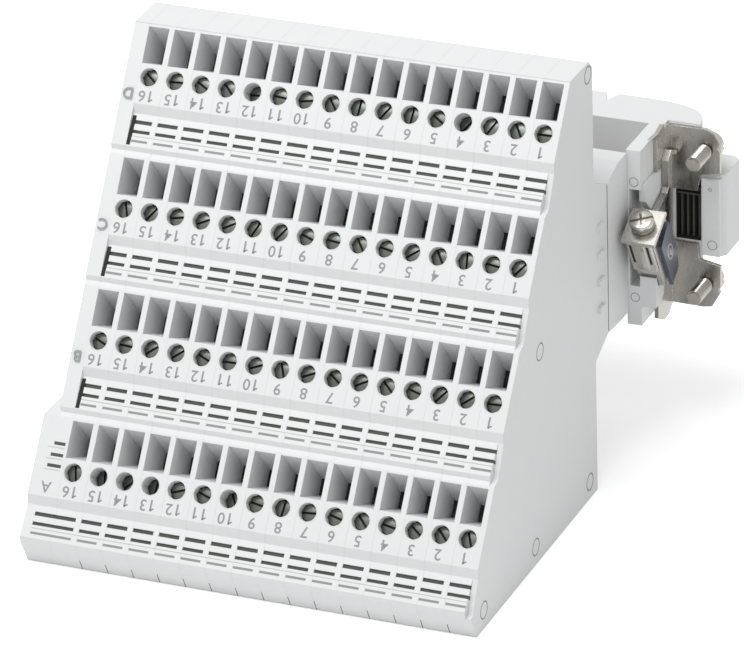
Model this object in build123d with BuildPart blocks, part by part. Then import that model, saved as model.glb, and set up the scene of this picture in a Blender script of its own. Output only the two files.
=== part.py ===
from build123d import *
import os
from math import cos, radians, sin

# Screw terminal block: a stepped stack of sixteen moulded slices with four rows of screw terminals,
# carried on the back of a rectangular heavy-duty connector insert with metal end brackets.
# Millimetres. X runs along the rows, Y to the back, Z up. The origin is the middle of the flat base.

# Driving sizes of the terminal block
PITCH = 5.08
POSITIONS = 16
TIERS = 4
WEB = 1.08
END_PLATE = 2.9
FOOT_REACH = 3.0
BASE_FRONT = -30.05
TOP_CHAMFER = 1.6
HOLLOW_WALL = 1.7
SEAT_TO_WALL = 0.18

# One tier, from its top edge down: the screw face, a short upright step, then the sloping marker strip
FACE_ANGLE = radians(54.8)
FACE_LENGTH = 14.75
STEP_DOWN = 1.95
STRIP_ANGLE = radians(49.0)
STRIP_LENGTH = 6.9
LIP_CHAMFER = 0.7
LIP_HEIGHT = 5.59
LIP_OVERHANG = 3.08
LEDGE = 0.15
LIP_ABOVE_NEXT = 1.12
ROOF_RISE = 0.2

# Wire funnel, measured down the face and into it
FUNNEL_TOP = 0.45
FUNNEL_TOP_DEPTH = 0.95
FUNNEL_ROOF_END = 2.47
FUNNEL_FLOOR_END = 5.54
FUNNEL_BOTTOM = 7.25

# Terminal screw and its bore
SCREW_DOWN = 9.7
SCREW_SIDES = 6
BORE_SIDES = 8
SCREW_RADIUS = 1.6
BORE_RADIUS = 1.8
SCREW_SUNK = 1.3
SCREW_SUNK_OPEN = 3.0
BACKED_OUT = {0: (10, 13, 14, 15), 1: (), 2: (), 3: (4, 12)}

# Clamp behind the funnel and the screw
CLAMP_DEPTH = 8.8
CLAMP_THICK = 3.5
CLAMP_TOP = 2.2
CLAMP_BOTTOM = 11.8
CLAMP_GAP = 0.1

# Marker strip slots: where each starts down the strip and how tall it is
SLOTS = ((1.25, 0.72), (3.1, 0.62))
SLOT_DEEP = 1.6
SLOT_END = 1.2
WALL_SET_BACK = 0.6

# Contact strips, from the clamps through the neck to the plug pins; their middle sets all rear levels
CONTACT_LEVEL = 42.7
CONTACT_ROW_STEP = 6.0
STRIP_THICK = 1.0
STRIP_WIDE = 1.6
STRIP_SLOT = 1.3
STRIP_SIDE_ROOM = 0.3
STRIP_BENDS_BEFORE_REAR = {0: 4.0, 1: 8.0, 2: 6.0}
TOP_STRIP_DROP = 4.5
TOP_STRIP_PAST_REAR = 1.5
PIN_STICK_OUT = 7.0

# Neck at the rear of the slices and the carrier behind it
NECK_LOW = CONTACT_LEVEL - 16.7
NECK_HIGH = CONTACT_LEVEL + 19.0
NECK_LENGTH = 6.6
NECK_TAPER = 3.0
JOINT_GAP = 0.12
CARRIER_LENGTH = 10.2
CARRIER_LOW = CONTACT_LEVEL - 14.3
CARRIER_HIGH = CONTACT_LEVEL + 17.7
CARRIER_SLOPE = 4.0
CARRIER_RISE = 1.8
CARRIER_FALL = 0.5
TONGUE_THICK = 1.8
TONGUE_LOW = CONTACT_LEVEL - 12.7
TONGUE_HIGH = CONTACT_LEVEL + 11.3
LATCH_LEVELS = (-7.1, -1.6, 3.7, 9.2)
LATCH_BACK = 2.7
LATCH_LONG = 2.6
LATCH_TALL = 1.2
LATCH_PROUD = 0.6

# Connector insert
INSERT_LOW = CONTACT_LEVEL - 16.8
INSERT_HIGH = CONTACT_LEVEL + 18.3
POCKET_DEPTH = 12.3
POCKET_SHORTER = 0.24
ARM_THICK = 2.8
ARM_WALL = 0.6
NOTCH_LOW = CONTACT_LEVEL - 8.9
NOTCH_HIGH = CONTACT_LEVEL + 10.5
NOTCH_DEPTH = 9.0
CORE_THICK = 10.6
CORE_END_REACH = 6.3
CORE_CORNER = ((0.4, 5.9), (1.4, 3.8), (3.2, 2.1), (5.8, 0.9), (9.0, 0.2), (12.5, 0.0))
KEY_X = 29.4
KEY_WIDE = 2.4
KEY_DEEP = 3.5
KEY_TALL = 5.5
LOBE_WIDE = 10.0
LOBE_PAST_BOLT = 3.45
LOBE_REAR_STEP = 1.5
LOBE_LOW = CONTACT_LEVEL - 8.0
LOBE_HIGH = CONTACT_LEVEL + 8.4
LOBE_CHAMFER = 1.3
PAD_WIDE = 3.4
PAD_PROUD = 1.0
PAD_FROM_END = 0.6
RECESS_BESIDE_ARM = 1.4
RECESS_BESIDE_PAD = 0.5
RECESS_DEEP = 6.6
RECESS_LOW = CONTACT_LEVEL - 5.2
RECESS_HIGH = CONTACT_LEVEL + 7.6

# Cheek beside the arm's notch: behind the arm's front and above the notch; rest: the same, above its foot
CHEEK = ((0.9, 0.8), (10.3, 0.8), (10.3, -4.8), (7.5, -6.6), (5.1, -6.4), (2.9, -4.6), (0.9, -2.6))
CHEEK_SUNK = 0.6
CHEEK_THICK = 1.3
REST = ((0, 2.1), (0.4, 2.1), (1.4, 0), (4.3, -0.3), (4.3, -2.6), (2.5, -3.9), (0, -3.9))
REST_SUNK = 0.3
REST_THICK = 3.1

# End brackets and their captive screws
SHEET = 0.8
LEG_SET_BACK = 6.7
LEG_TOP = CONTACT_LEVEL + 17.8
LEG_BOTTOM = CONTACT_LEVEL - 20.3
LEG_CUT = 3.8
LEG_CUT_LOW = CONTACT_LEVEL - 9.2
LEG_CUT_HIGH = CONTACT_LEVEL + 11.5
LEG_BARBS = ((0, 0), (-3.4, 1.3), (1.0, 1.0), (3.6, 1.6), (3.8, 0.7), (5.2, 0.9))
LEG_HEEL = ((5.5, 0.5), (3.2, 0.4), (0, 2.0))
LEG_HEEL_REAR = 2.2
FLANGE_SET_BACK = 14.0
FLANGE_PAST_BOLT = 2.95
FLANGE_NECK = 5.9
FLANGE_TOP_END = ((-2.8, 0), (-1.2, -0.7), (0, -2.6), (-0.5, -3.6), (0, -4.4))
FLANGE_LOW_END = ((0, -1.5), (0, -5.6), (-0.5, -6.2), (-0.1, -7.0), (-1.7, -9.9), (-3.5, -10.2))
FLANGE_LOW_FOOT = 10.1
BOLT_FROM_ARM = 7.35
BOLT_SPACING_Z = 27.0
CAPTIVE_RADIUS = 1.5
CAPTIVE_LENGTH = 6.4
CAPTIVE_NECK_RADIUS = 1.2
CAPTIVE_NECK = 0.3
CAPTIVE_HEAD_RADIUS = 2.7
CAPTIVE_HEAD = 2.6
HEAD_SIDES = 12
HEAD_ROOM = 0.6
RUNNING_CLEARANCE = 0.05

# Protective earth clamp in the right arm: its screw's axis leans forwards
PE_FROM_ARM = 1.55
PE_BEFORE_ARM = 3.5
PE_ABOVE_CONTACTS = 5.9
PE_TILT = radians(60.0)
PE_SCREW_LENGTH = 12.0
PE_SCREW_RADIUS = 1.45
PE_HEAD_RADIUS = 2.3
PE_HEAD = 2.2
PE_SADDLE_TOP = 1.2
PE_SADDLE_WIDE = 6.5
PE_SADDLE_LONG = 7.6
PE_FRONT_WIDE = 4.6
PE_FRONT_LONG = 8.0
PE_BODY_WIDE = 4.8
PE_BODY_FRONT = 2.9
PE_BODY_BACK = 4.4
PE_BODY_BOTTOM = 15.2
PE_PLATE_THICK = 0.7
PE_GAP = 0.1
PE_SEAM = 0.02
PE_PLATE = (
    (-1.2, -5.4), (1.9, -4.5), (3.9, -4.5), (4.3, -6.0), (3.9, -13.3), (2.7, -16.5), (-1.2, -17.2),
)
STRAP_WIDE = 1.3
STRAP_RUN = ((4.0, -3.9), (2.5, -5.1), (2.8, -10.5), (1.6, -11.5))
STRAP_HEAD = (0.4, 5.1)
STRAP_FOOT = (0.3, -4.2)

# Steps of the stair, from the lengths and angles of one tier
TIER_DROP = FACE_LENGTH * sin(FACE_ANGLE) + STEP_DOWN + STRIP_LENGTH * sin(STRIP_ANGLE)
TIER_REACH = FACE_LENGTH * cos(FACE_ANGLE) + STRIP_LENGTH * cos(STRIP_ANGLE)
TIER_RISE = TIER_DROP + LIP_ABOVE_NEXT
TIER_BACK = TIER_REACH + LEDGE
TOP_EDGE_Y = BASE_FRONT - LIP_OVERHANG + TIER_REACH
TOP_EDGE_Z = LIP_HEIGHT + TIER_DROP
BLOCK_HEIGHT = TOP_EDGE_Z + (TIERS - 1) * TIER_RISE + ROOF_RISE
RIGHT_END = POSITIONS * PITCH / 2
LEFT_END = -RIGHT_END - END_PLATE
CENTRE_X = (RIGHT_END + LEFT_END) / 2
CELL = PITCH - WEB
SEAT_REACH = (CLAMP_DEPTH + CLAMP_THICK) * sin(FACE_ANGLE) - CLAMP_TOP * cos(FACE_ANGLE)
CAVITY_REAR = TOP_EDGE_Y + (TIERS - 1) * TIER_BACK + SEAT_REACH + SEAT_TO_WALL
BLOCK_REAR = CAVITY_REAR + HOLLOW_WALL
NECK_REAR = BLOCK_REAR + NECK_LENGTH
CARRIER_FRONT = NECK_REAR + JOINT_GAP
CARRIER_REAR = CARRIER_FRONT + CARRIER_LENGTH
ARM_FRONT = CARRIER_REAR + JOINT_GAP
CORE_FRONT = ARM_FRONT + POCKET_DEPTH
CORE_REAR = CORE_FRONT + CORE_THICK
POCKET_RIGHT = RIGHT_END - POCKET_SHORTER
POCKET_LEFT = 2 * CENTRE_X - POCKET_RIGHT
ARM_OUTER = POCKET_RIGHT + ARM_THICK
BOLT_SPACING_X = 2 * (ARM_OUTER + BOLT_FROM_ARM - CENTRE_X)
LEG_FRONT = ARM_FRONT + LEG_SET_BACK
FLANGE_PLANE = ARM_FRONT + FLANGE_SET_BACK
FLANGE_REAR = FLANGE_PLANE + SHEET
BOLT_X = CENTRE_X + BOLT_SPACING_X / 2
LOBE_REAR = CORE_REAR + LOBE_REAR_STEP
PIN_END = CORE_REAR + PIN_STICK_OUT
CONTACT_LEVELS = [CONTACT_LEVEL + (row - (TIERS - 1) / 2) * CONTACT_ROW_STEP for row in range(TIERS)]
ROW_LETTERS = "abcd"

os.makedirs("parts", exist_ok=True)


def write(part, name):
    """Labels a finished piece and writes it."""
    part.label = name
    export_step(part, f"parts/{name}.step")


def face_point(tier, down, deep):
    """(Y, Z) of a point down a tier's screw face from its top edge and deep behind it."""
    y = TOP_EDGE_Y + tier * TIER_BACK - down * cos(FACE_ANGLE) + deep * sin(FACE_ANGLE)
    z = TOP_EDGE_Z + tier * TIER_RISE - down * sin(FACE_ANGLE) - deep * cos(FACE_ANGLE)
    return (y, z)


def strip_point(tier, down, deep):
    """(Y, Z) of a point down a tier's marker strip from its upper edge and deep behind it."""
    corner_y, corner_z = face_point(tier, FACE_LENGTH, 0)
    y = corner_y - down * cos(STRIP_ANGLE) + deep * sin(STRIP_ANGLE)
    z = corner_z - STEP_DOWN - down * sin(STRIP_ANGLE) - deep * cos(STRIP_ANGLE)
    return (y, z)


def face_plane(tier, deep):
    """Plane parallel to a tier's screw face, its X along the row and its normal into the block."""
    y, z = face_point(tier, SCREW_DOWN, deep)
    return Plane(origin=(0, y, z), x_dir=(1, 0, 0), z_dir=(0, sin(FACE_ANGLE), -cos(FACE_ANGLE)))


def slice_right(number):
    """X of the right face of the slice that holds this position."""
    return RIGHT_END - (number - 1) * PITCH


def cell_x(number):
    """X of the middle of a slice's open cell, where its terminal screw stands."""
    return slice_right(number) - WEB - CELL / 2


def tier_outline(tier, straight):
    """Points of one tier from its lip up to its top edge; straight leaves out the marker strip."""
    under_lip = strip_point(tier, STRIP_LENGTH, LIP_CHAMFER)
    points = [under_lip, strip_point(tier, STRIP_LENGTH - LIP_CHAMFER, 0)]
    if not straight:
        points += [strip_point(tier, 0, 0), face_point(tier, FACE_LENGTH, 0)]
    return points + [face_point(tier, 0, 0)]


def block_outline(straight_from=TIERS):
    """Outline of a slice in the YZ plane; tiers from straight_from upwards have no marker strip."""
    points = [(BASE_FRONT, 0)]
    for tier in range(TIERS):
        points += tier_outline(tier, tier >= straight_from)
    points += [
        (face_point(TIERS - 1, 0, 0)[0], BLOCK_HEIGHT),
        (BLOCK_REAR - TOP_CHAMFER, BLOCK_HEIGHT),
        (BLOCK_REAR, BLOCK_HEIGHT - TOP_CHAMFER),
        (BLOCK_REAR, NECK_HIGH),
        (NECK_REAR, NECK_HIGH - NECK_TAPER),
        (NECK_REAR, NECK_LOW + NECK_TAPER),
        (BLOCK_REAR, NECK_LOW),
        (BLOCK_REAR, 0),
    ]
    return points


def funnel_outline(tier):
    """Wire funnel in the YZ plane, from in front of the screw face to the clamp."""
    return [
        face_point(tier, FUNNEL_TOP, -1),
        face_point(tier, FUNNEL_TOP, FUNNEL_TOP_DEPTH),
        face_point(tier, FUNNEL_ROOF_END, CLAMP_DEPTH),
        face_point(tier, FUNNEL_FLOOR_END, CLAMP_DEPTH),
        face_point(tier, FUNNEL_BOTTOM, 0),
        face_point(tier, FUNNEL_BOTTOM, -1),
    ]


def slot_outline(tier, start, height):
    """One slot across the marker strip."""
    return [
        strip_point(tier, start, -1),
        strip_point(tier, start, SLOT_DEEP),
        strip_point(tier, start + height, SLOT_DEEP),
        strip_point(tier, start + height, -1),
    ]


def clamp_seat(tier):
    """The clamp's seat, open to the inner hollow behind it."""
    return [
        face_point(tier, CLAMP_TOP, CLAMP_DEPTH),
        face_point(tier, CLAMP_TOP, CLAMP_DEPTH + CLAMP_THICK),
        face_point(tier, CLAMP_BOTTOM, CLAMP_DEPTH + CLAMP_THICK),
        face_point(tier, CLAMP_BOTTOM, CLAMP_DEPTH),
    ]


def hollow_outline():
    """The hollow that the contact strips run through, open at the end of the neck."""
    floor = face_point(0, CLAMP_BOTTOM, CLAMP_DEPTH + CLAMP_THICK)[1]
    points = []
    for tier in range(TIERS):
        points.append(face_point(tier, CLAMP_BOTTOM, CLAMP_DEPTH + CLAMP_THICK))
        points.append(face_point(tier, CLAMP_TOP, CLAMP_DEPTH + CLAMP_THICK))
    return points + [
        (CAVITY_REAR, points[-1][1]),
        (CAVITY_REAR, NECK_HIGH - NECK_TAPER - HOLLOW_WALL),
        (NECK_REAR + 1, NECK_HIGH - NECK_TAPER - HOLLOW_WALL),
        (NECK_REAR + 1, NECK_LOW + NECK_TAPER + HOLLOW_WALL),
        (CAVITY_REAR, NECK_LOW + NECK_TAPER + HOLLOW_WALL),
        (CAVITY_REAR, floor),
    ]


def make_slice(number, outermost):
    """One moulded slice: a closed web on its right and an open cell on its left."""
    right = slice_right(number)
    with BuildPart() as body:
        with BuildSketch(Plane.YZ.offset(right - WEB)):
            with BuildLine():
                Polyline(*block_outline(), close=True)
            make_face()
        extrude(amount=WEB)
        with BuildSketch(Plane.YZ.offset(right - PITCH)):
            with BuildLine():
                Polyline(*block_outline(), close=True)
            make_face()
            cuts = [hollow_outline()]
            for tier in range(TIERS):
                cuts += [funnel_outline(tier), clamp_seat(tier)]
                cuts += [slot_outline(tier, start, height) for start, height in SLOTS]
            for cut in cuts:
                with BuildLine():
                    Polyline(*cut, close=True)
                make_face(mode=Mode.SUBTRACT)
        extrude(amount=CELL)
        for tier in range(TIERS):
            with BuildSketch(face_plane(tier, -1)):
                with Locations((cell_x(number), 0)):
                    RegularPolygon(BORE_RADIUS, BORE_SIDES)
            extrude(amount=CLAMP_DEPTH + 1, mode=Mode.SUBTRACT)
        if outermost:
            # The outer wall stands back beside the marker strips, so that their ends show.
            for tier in range(TIERS):
                with BuildSketch(Plane.YZ.offset(right - WEB)):
                    with BuildLine():
                        Polyline(
                            strip_point(tier, 0, 0),
                            strip_point(tier, STRIP_LENGTH - LIP_CHAMFER, SLOT_DEEP),
                            strip_point(tier, STRIP_LENGTH + 1, WALL_SET_BACK),
                            strip_point(tier, STRIP_LENGTH + 1, -1),
                            strip_point(tier, 0, -1),
                            close=True,
                        )
                    make_face()
                extrude(amount=WEB, mode=Mode.SUBTRACT)
            for level in LATCH_LEVELS:
                with BuildSketch(Plane.YZ.offset(right)):
                    with Locations((BLOCK_REAR + LATCH_BACK, CONTACT_LEVEL + level)):
                        Rectangle(LATCH_LONG, LATCH_TALL)
                extrude(amount=LATCH_PROUD)
    return body.part


write(make_slice(1, True), "slice_01")
inner_slice = make_slice(2, False)
for number in range(2, POSITIONS + 1):
    write(inner_slice.moved(Location(((2 - number) * PITCH, 0, 0))), f"slice_{number:02d}")

# Left end plate; at the lowest row it carries the stair's own profile on, with the marker slots in it
with BuildPart() as end_plate:
    with BuildSketch(Plane.YZ.offset(LEFT_END)):
        with BuildLine():
            Polyline(*block_outline(straight_from=1), close=True)
        make_face()
    extrude(amount=END_PLATE)
    with BuildSketch(Plane.YZ.offset(LEFT_END - FOOT_REACH)):
        with BuildLine():
            Polyline(
                (BASE_FRONT, 0),
                *tier_outline(0, False),
                (BLOCK_REAR, TOP_EDGE_Z),
                (BLOCK_REAR, 0),
                close=True,
            )
        make_face()
    extrude(amount=FOOT_REACH)
    for start, height in SLOTS:
        with BuildSketch(Plane.YZ.offset(LEFT_END - SLOT_END)):
            with BuildLine():
                Polyline(*slot_outline(0, start, height), close=True)
            make_face()
        extrude(amount=SLOT_END + END_PLATE, mode=Mode.SUBTRACT)
write(end_plate.part, "end_plate_left")


def make_screws(tier):
    """The sixteen terminal screws of one row, some backed out less than others."""
    with BuildPart() as screws:
        for sunk, backed_out in ((SCREW_SUNK, False), (SCREW_SUNK_OPEN, True)):
            numbers = [n for n in range(1, POSITIONS + 1) if (n in BACKED_OUT[tier]) == backed_out]
            if not numbers:
                continue
            with BuildSketch(face_plane(tier, sunk)):
                with Locations(*[(cell_x(n), 0) for n in numbers]):
                    RegularPolygon(SCREW_RADIUS, SCREW_SIDES)
            extrude(amount=CLAMP_DEPTH - sunk)
    return screws.part


def make_clamps(tier):
    """The sixteen wire clamps of one row, seated behind the funnels and the screws."""
    low = CLAMP_BOTTOM - SCREW_DOWN - CLAMP_GAP
    high = SCREW_DOWN - CLAMP_TOP - CLAMP_GAP
    with BuildPart() as clamps:
        with BuildSketch(face_plane(tier, CLAMP_DEPTH)):
            with Locations(*[(cell_x(n), (low - high) / 2) for n in range(1, POSITIONS + 1)]):
                Rectangle(CELL - 2 * CLAMP_GAP, low + high)
        extrude(amount=CLAMP_THICK - CLAMP_GAP)
    return clamps.part


def strip_path(tier):
    """Centre line of a row's contact strips in the YZ plane, from the clamp to the pin's tip."""
    start = face_point(tier, (CLAMP_TOP + CLAMP_BOTTOM) / 2, CLAMP_DEPTH + CLAMP_THICK - CLAMP_GAP)
    level = CONTACT_LEVELS[tier]
    drop_y = CAVITY_REAR - STRIP_THICK
    if tier == TIERS - 1:
        bends = [(drop_y, level + TOP_STRIP_DROP), (BLOCK_REAR + TOP_STRIP_PAST_REAR, level)]
    else:
        bends = [(drop_y - STRIP_BENDS_BEFORE_REAR[tier], level)]
    return [start, *bends, (PIN_END, level)]


def ribbon(path, thick, first_face=None):
    """Outline of a flat bar bent along a path in the YZ plane; first_face slants its first end's cut."""
    points = [Vector(*point) for point in path]
    runs = [(after - before).normalized() for before, after in zip(points, points[1:])]
    left, right = [], []
    for index, point in enumerate(points):
        into = runs[max(index - 1, 0)]
        out = runs[min(index, len(runs) - 1)]
        square = Vector(-out.Y, out.X)
        bisector = (into + out).normalized()
        across = Vector(-bisector.Y, bisector.X)
        if index == 0 and first_face:
            across = first_face
        reach = across * (thick / 2 / across.dot(square))
        left.append(tuple(point + reach)[:2])
        right.append(tuple(point - reach)[:2])
    return left + right[::-1]


def make_strips(tier):
    """The sixteen contact strips of one row, each bent from flat bar and ending as a plug pin."""
    clamp_face = Vector(cos(FACE_ANGLE), sin(FACE_ANGLE))
    with BuildPart() as strips:
        for number in range(1, POSITIONS + 1):
            with BuildSketch(Plane.YZ.offset(cell_x(number) - STRIP_WIDE / 2)):
                with BuildLine():
                    Polyline(*ribbon(strip_path(tier), STRIP_THICK, clamp_face), close=True)
                make_face()
            extrude(amount=STRIP_WIDE)
    return strips.part


for tier, letter in enumerate(ROW_LETTERS):
    write(make_screws(tier), f"terminal_screws_row_{letter}")
    write(make_clamps(tier), f"wire_clamps_row_{letter}")
    write(make_strips(tier), f"contact_strips_row_{letter}")


def strip_slots(front):
    """Sketch of the four slots that the contact strips pass through, on the plane Y = front."""
    middle = (cell_x(1) + cell_x(POSITIONS)) / 2
    width = cell_x(1) - cell_x(POSITIONS) + STRIP_WIDE + 2 * STRIP_SIDE_ROOM
    with BuildSketch(Plane.XZ.offset(-front)) as slots:
        with Locations(*[(middle, level) for level in CONTACT_LEVELS]):
            Rectangle(width, STRIP_SLOT)
    return slots.sketch


carrier_slots = strip_slots(CARRIER_FRONT)
core_slots = strip_slots(CORE_FRONT)

# Carrier between the neck and the connector insert, with a tongue at each end
with BuildPart() as carrier:
    with BuildSketch(Plane.YZ.offset(LEFT_END)):
        with BuildLine():
            Polyline(
                (CARRIER_FRONT, CARRIER_LOW + CARRIER_FALL),
                (CARRIER_FRONT, CARRIER_HIGH - CARRIER_RISE),
                (CARRIER_REAR - CARRIER_SLOPE, CARRIER_HIGH),
                (CARRIER_REAR, CARRIER_HIGH),
                (CARRIER_REAR, CARRIER_LOW),
                (CARRIER_REAR - CARRIER_SLOPE, CARRIER_LOW),
                close=True,
            )
        make_face()
    extrude(amount=RIGHT_END - LEFT_END)
    with BuildSketch(Plane.XZ.offset(-CARRIER_REAR)):
        with Locations(
            (POCKET_RIGHT - TONGUE_THICK / 2, (TONGUE_LOW + TONGUE_HIGH) / 2),
            (POCKET_LEFT + TONGUE_THICK / 2, (TONGUE_LOW + TONGUE_HIGH) / 2),
        ):
            Rectangle(TONGUE_THICK, TONGUE_HIGH - TONGUE_LOW)
    extrude(amount=CARRIER_REAR - CORE_FRONT)
    extrude(carrier_slots, amount=CARRIER_FRONT - CARRIER_REAR, mode=Mode.SUBTRACT)
write(carrier.part, "contact_carrier")


def upright(points, x):
    """Face of a closed outline in the YZ plane at this X."""
    with BuildSketch(Plane.YZ.offset(x)) as drawn:
        with BuildLine():
            Polyline(*points, close=True)
        make_face()
    return drawn.sketch


# Connector insert: a core that holds the contacts, arms beside the open pocket and a lobe at each end
core_reach = ARM_OUTER + CORE_END_REACH - CENTRE_X
lobe_outer = BOLT_X + LOBE_PAST_BOLT
with BuildPart() as insert:
    with BuildSketch(Plane.XY.offset(INSERT_LOW)):
        with BuildLine():
            Polyline(
                (CENTRE_X, ARM_FRONT),
                (ARM_OUTER, ARM_FRONT),
                (ARM_OUTER, FLANGE_REAR),
                (CENTRE_X + core_reach, FLANGE_REAR),
                *[(CENTRE_X + core_reach - inward, CORE_REAR - forward) for inward, forward in CORE_CORNER],
                (CENTRE_X, CORE_REAR),
                close=True,
            )
        make_face()
        mirror(about=Plane.YZ.offset(CENTRE_X))
        with Locations((CENTRE_X, (ARM_FRONT + CORE_FRONT) / 2)):
            Rectangle(POCKET_RIGHT - POCKET_LEFT, CORE_FRONT - ARM_FRONT, mode=Mode.SUBTRACT)
    extrude(amount=INSERT_HIGH - INSERT_LOW)
    # Keying notch in the upper rear edge
    with BuildSketch(Plane.XY.offset(INSERT_HIGH)):
        with BuildLine():
            Polyline(
                (KEY_X - KEY_WIDE / 2, CORE_REAR),
                (KEY_X, CORE_REAR - KEY_DEEP),
                (KEY_X + KEY_WIDE / 2, CORE_REAR),
                close=True,
            )
        make_face()
    extrude(amount=-KEY_TALL, mode=Mode.SUBTRACT)
    # Room behind the flanges for the heads of the captive screws, open at the ends
    room = CAPTIVE_HEAD_RADIUS + HEAD_ROOM
    for side_sign in (1, -1):
        for level_sign in (1, -1):
            with BuildSketch(Plane.XZ.offset(-FLANGE_REAR)):
                with Locations(
                    (
                        CENTRE_X + side_sign * (BOLT_SPACING_X / 2 + room / 2),
                        CONTACT_LEVEL + level_sign * BOLT_SPACING_Z / 2,
                    )
                ):
                    Rectangle(3 * room, 2 * room)
            extrude(amount=FLANGE_REAR - LOBE_REAR - 1, mode=Mode.SUBTRACT)
    for side_sign in (1, -1):
        lobe_x = CENTRE_X + side_sign * (lobe_outer - LOBE_WIDE / 2 - CENTRE_X)
        with BuildSketch(Plane.XY.offset(LOBE_LOW)):
            with Locations((lobe_x, (FLANGE_REAR + LOBE_REAR) / 2)):
                lobe = Rectangle(LOBE_WIDE, LOBE_REAR - FLANGE_REAR)
            chamfer(lobe.vertices(), LOBE_CHAMFER)
        extrude(amount=LOBE_HIGH - LOBE_LOW)
        # Raised pad between the flanges and the deep recess beside it
        pad_x = CENTRE_X + side_sign * (lobe_outer - PAD_FROM_END - PAD_WIDE / 2 - CENTRE_X)
        with BuildSketch(Plane.XZ.offset(-FLANGE_REAR + PAD_PROUD)):
            with Locations((pad_x, (LOBE_LOW + LOBE_HIGH) / 2)):
                Rectangle(PAD_WIDE, LOBE_HIGH - LOBE_LOW - 1)
        extrude(amount=-PAD_PROUD - 2)
        recess_inner = ARM_OUTER + RECESS_BESIDE_ARM
        recess_outer = lobe_outer - PAD_FROM_END - PAD_WIDE - RECESS_BESIDE_PAD
        recess_x = CENTRE_X + side_sign * ((recess_inner + recess_outer) / 2 - CENTRE_X)
        with BuildSketch(Plane.XZ.offset(-FLANGE_REAR)):
            with Locations((recess_x, (RECESS_LOW + RECESS_HIGH) / 2)):
                Rectangle(recess_outer - recess_inner, RECESS_HIGH - RECESS_LOW)
        extrude(amount=-RECESS_DEEP, mode=Mode.SUBTRACT)
    extrude(core_slots, amount=CORE_FRONT - CORE_REAR, mode=Mode.SUBTRACT)
    # Notch for the earth clamp in the right arm, the cheek that closes its side and the clamp's rest
    with BuildSketch(Plane.XZ.offset(-ARM_FRONT)):
        with Locations((ARM_OUTER, (NOTCH_LOW + NOTCH_HIGH) / 2)):
            Rectangle(2 * (ARM_THICK - ARM_WALL), NOTCH_HIGH - NOTCH_LOW)
    extrude(amount=-NOTCH_DEPTH, mode=Mode.SUBTRACT)
    cheek = upright([(ARM_FRONT + back, NOTCH_HIGH + up) for back, up in CHEEK], ARM_OUTER - CHEEK_SUNK)
    extrude(cheek, amount=CHEEK_THICK)
    rest = upright([(ARM_FRONT + back, NOTCH_LOW + up) for back, up in REST], ARM_OUTER - REST_SUNK)
    extrude(rest, amount=REST_THICK)
write(insert.part, "connector_insert")


def captive_places():
    """(name, X, Z) of the four captive screws."""
    places = []
    for side_name, side_sign in (("right", 1), ("left", -1)):
        for level_name, level_sign in (("upper", 1), ("lower", -1)):
            x = CENTRE_X + side_sign * BOLT_SPACING_X / 2
            z = CONTACT_LEVEL + level_sign * BOLT_SPACING_Z / 2
            places.append((f"captive_screw_{level_name}_{side_name}", x, z))
    return places


# Right end bracket, folded from sheet: a leg on the arm with a barbed tab, and two flanges with a hole each
flange_end = BOLT_X + FLANGE_PAST_BOLT
flange_neck = ARM_OUTER + FLANGE_NECK
with BuildPart() as bracket:
    with BuildSketch(Plane.YZ.offset(ARM_OUTER)):
        with BuildLine():
            Polyline(
                (LEG_FRONT, LEG_CUT_HIGH),
                *[(LEG_FRONT + back, LEG_TOP + up) for back, up in LEG_BARBS],
                (FLANGE_REAR, LEG_TOP),
                (FLANGE_REAR, LEG_BOTTOM + LEG_HEEL_REAR),
                *[(LEG_FRONT + back, LEG_BOTTOM + up) for back, up in LEG_HEEL],
                (LEG_FRONT, LEG_CUT_LOW),
                (LEG_FRONT + LEG_CUT, LEG_CUT_LOW),
                (LEG_FRONT + LEG_CUT, LEG_CUT_HIGH),
                close=True,
            )
        make_face()
    extrude(amount=SHEET)
    with BuildSketch(Plane.XZ.offset(-FLANGE_PLANE)):
        with BuildLine():
            Polyline(
                (ARM_OUTER, LEG_TOP),
                *[(flange_end + out, LEG_TOP + up) for out, up in FLANGE_TOP_END],
                (flange_end, LOBE_HIGH + 0.9),
                (flange_neck + 0.6, LOBE_HIGH + 0.2),
                (flange_neck, LOBE_HIGH - 3.2),
                (ARM_OUTER, LOBE_HIGH - 3.3),
                close=True,
            )
        make_face()
        with BuildLine():
            Polyline(
                (ARM_OUTER, LOBE_LOW + 2.5),
                (flange_neck, LOBE_LOW + 2.5),
                (flange_neck + 0.2, LOBE_LOW - 0.7),
                *[(flange_end + out, LOBE_LOW + up) for out, up in FLANGE_LOW_END],
                (ARM_OUTER, LOBE_LOW - FLANGE_LOW_FOOT),
                close=True,
            )
        make_face()
        with Locations(
            (BOLT_X, CONTACT_LEVEL + BOLT_SPACING_Z / 2),
            (BOLT_X, CONTACT_LEVEL - BOLT_SPACING_Z / 2),
        ):
            Circle(CAPTIVE_NECK_RADIUS + RUNNING_CLEARANCE, mode=Mode.SUBTRACT)
    extrude(amount=-SHEET)
write(bracket.part, "end_bracket_right")
write(mirror(bracket.part, about=Plane.YZ.offset(CENTRE_X)), "end_bracket_left")

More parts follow.
